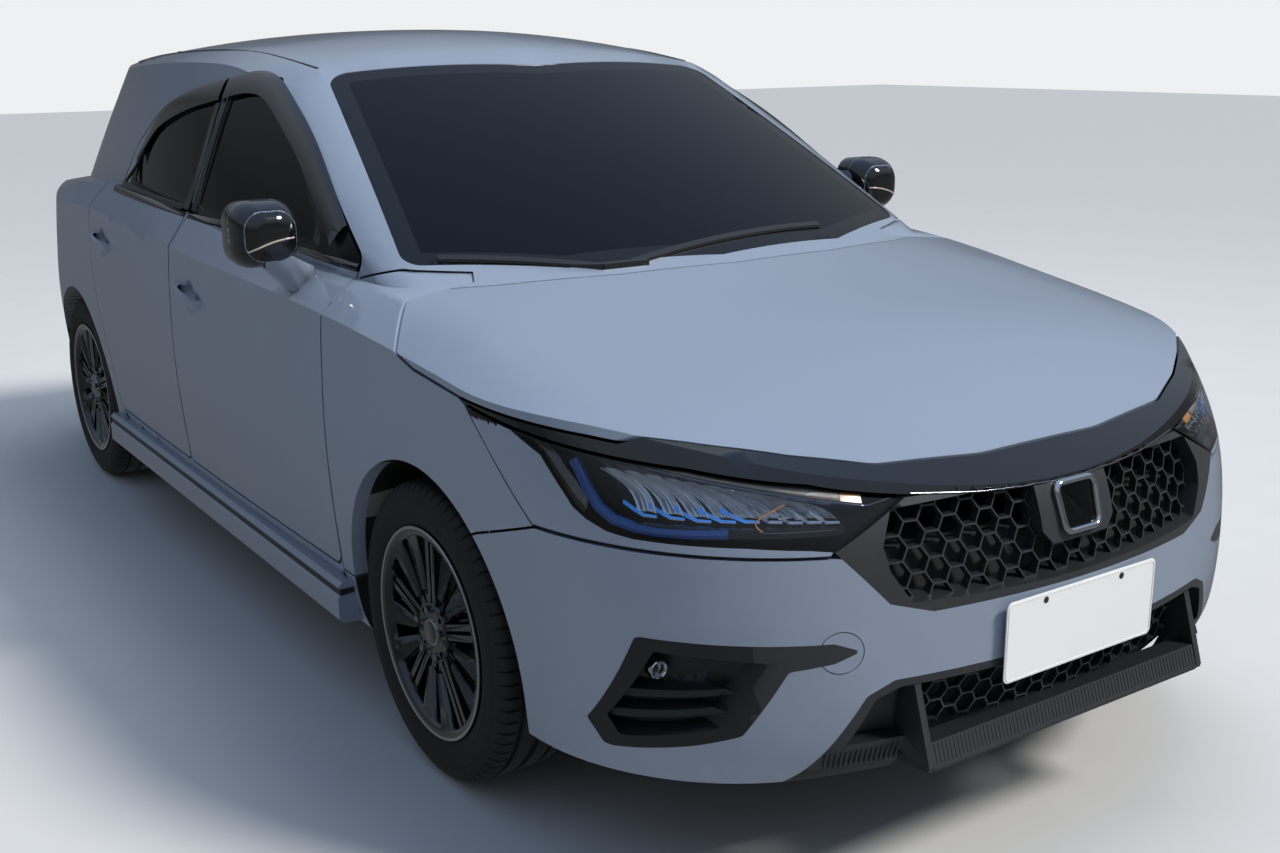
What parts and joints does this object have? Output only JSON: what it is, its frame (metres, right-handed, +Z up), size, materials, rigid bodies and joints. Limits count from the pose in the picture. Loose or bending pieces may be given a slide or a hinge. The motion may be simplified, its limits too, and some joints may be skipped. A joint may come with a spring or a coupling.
{
  "type": "five-door hatchback car",
  "caption": "Five-door hatchback car with opening doors, bonnet and tailgate, steered front wheels and turning road wheels.",
  "frame": {"origin": "on the ground, halfway along the car and midway between its sides", "axes": "-Y is the way the car drives forward, +X is its left side, +Z is up"},
  "size_m": [1.924, 4.369, 1.4702],
  "materials": {
    "paint": "gloss",
    "gloss_black": "gloss",
    "satin_black": "satin",
    "glass": "clear",
    "lamp": "clear",
    "tail_lamp": "gloss",
    "tyre": "matte",
    "wheel": "gloss",
    "steel": "rough",
    "interior": "matte",
    "seat": "matte",
    "plate": "satin"
  },
  "bodies": {
    "body": {"body_shell": "paint", "fender_left": "paint", "fender_right": "paint", "front_bumper": "paint", "nose_garnish": "gloss_black", "grille": "satin_black", "lower_grille": "satin_black", "chin_spoiler": "satin_black", "fog_bezels": "satin_black", "headlamp_left": "lamp", "headlamp_right": "lamp", "windscreen": "glass", "rear_bumper": "paint", "tail_lamps": "tail_lamp", "side_skirts": "paint", "wipers": "satin_black", "dashboard": "interior", "seat_front_left": "seat", "seat_front_right": "seat", "seat_rear": "seat", "engine_block": "steel", "front_subframe": "steel", "rear_axle_beam": "steel", "exhaust": "steel", "number_plate": "plate"},
    "bonnet": {"bonnet": "paint"},
    "tailgate": {"tailgate": "paint", "tailgate_glass": "glass"},
    "steering_wheel": {"steering_wheel": "interior"},
    "front_door_left": {"door_front_left": "paint", "door_front_glass_left": "glass", "mirror_left": "gloss_black"},
    "rear_door_left": {"door_rear_left": "paint", "door_rear_glass_left": "glass"},
    "front_knuckle_left": {"knuckle_left": "steel"},
    "front_wheel_left": {"tyre_front_left": "tyre", "wheel_front_left": "wheel"},
    "rear_wheel_left": {"tyre_rear_left": "tyre", "wheel_rear_left": "wheel"},
    "front_door_right": {"door_front_right": "paint", "door_front_glass_right": "glass", "mirror_right": "gloss_black"},
    "rear_door_right": {"door_rear_right": "paint", "door_rear_glass_right": "glass"},
    "front_knuckle_right": {"knuckle_right": "steel"},
    "front_wheel_right": {"tyre_front_right": "tyre", "wheel_front_right": "wheel"},
    "rear_wheel_right": {"tyre_rear_right": "tyre", "wheel_rear_right": "wheel"}
  },
  "joints": [
    {"name": "steering_turn", "type": "hinge", "parent": "body", "child": "steering_wheel", "pos_m": [0.37, -0.455, 0.905], "axis": [0, 0.9135, 0.4067], "range_deg": [-510, 510]},
    {"name": "steer_left", "type": "hinge", "parent": "body", "child": "front_knuckle_left", "pos_m": [0.688, -1.275, 0.305], "axis": [0, 0, 1], "range_deg": [-30, 30]},
    {"name": "spin_front_left", "type": "hinge", "parent": "front_knuckle_left", "child": "front_wheel_left", "pos_m": [0.7485, -1.275, 0.305], "axis": [1, 0, 0], "continuous": true},
    {"name": "spin_rear_left", "type": "hinge", "parent": "body", "child": "rear_wheel_left", "pos_m": [0.7415, 1.314, 0.305], "axis": [1, 0, 0], "continuous": true},
    {"name": "front_door_left_swing", "type": "hinge", "parent": "body", "child": "front_door_left", "pos_m": [0.871, -0.862, 0.84], "axis": [0, 0, -1], "range_deg": [0, 68]},
    {"name": "rear_door_left_swing", "type": "hinge", "parent": "body", "child": "rear_door_left", "pos_m": [0.871, 0.176, 0.84], "axis": [0, 0, -1], "range_deg": [0, 70]},
    {"name": "steer_right", "type": "hinge", "parent": "body", "child": "front_knuckle_right", "pos_m": [-0.688, -1.275, 0.305], "axis": [0, 0, 1], "range_deg": [-30, 30]},
    {"name": "spin_front_right", "type": "hinge", "parent": "front_knuckle_right", "child": "front_wheel_right", "pos_m": [-0.7485, -1.275, 0.305], "axis": [1, 0, 0], "continuous": true},
    {"name": "spin_rear_right", "type": "hinge", "parent": "body", "child": "rear_wheel_right", "pos_m": [-0.7415, 1.314, 0.305], "axis": [1, 0, 0], "continuous": true},
    {"name": "front_door_right_swing", "type": "hinge", "parent": "body", "child": "front_door_right", "pos_m": [-0.871, -0.862, 0.84], "axis": [0, 0, 1], "range_deg": [0, 68]},
    {"name": "rear_door_right_swing", "type": "hinge", "parent": "body", "child": "rear_door_right", "pos_m": [-0.871, 0.176, 0.84], "axis": [0, 0, 1], "range_deg": [0, 70]},
    {"name": "bonnet_lift", "type": "hinge", "parent": "body", "child": "bonnet", "pos_m": [0, -1.062, 0.95], "axis": [-1, 0, 0], "range_deg": [0, 50]},
    {"name": "tailgate_lift", "type": "hinge", "parent": "body", "child": "tailgate", "pos_m": [0, 1.56, 1.426], "axis": [1, 0, 0], "range_deg": [0, 78]}
  ],
  "couplings": [
    {"joint": "steer_right", "follows": "steer_left", "ratio": 1},
    {"joint": "steering_turn", "follows": "steer_left", "ratio": 17}
  ]
}
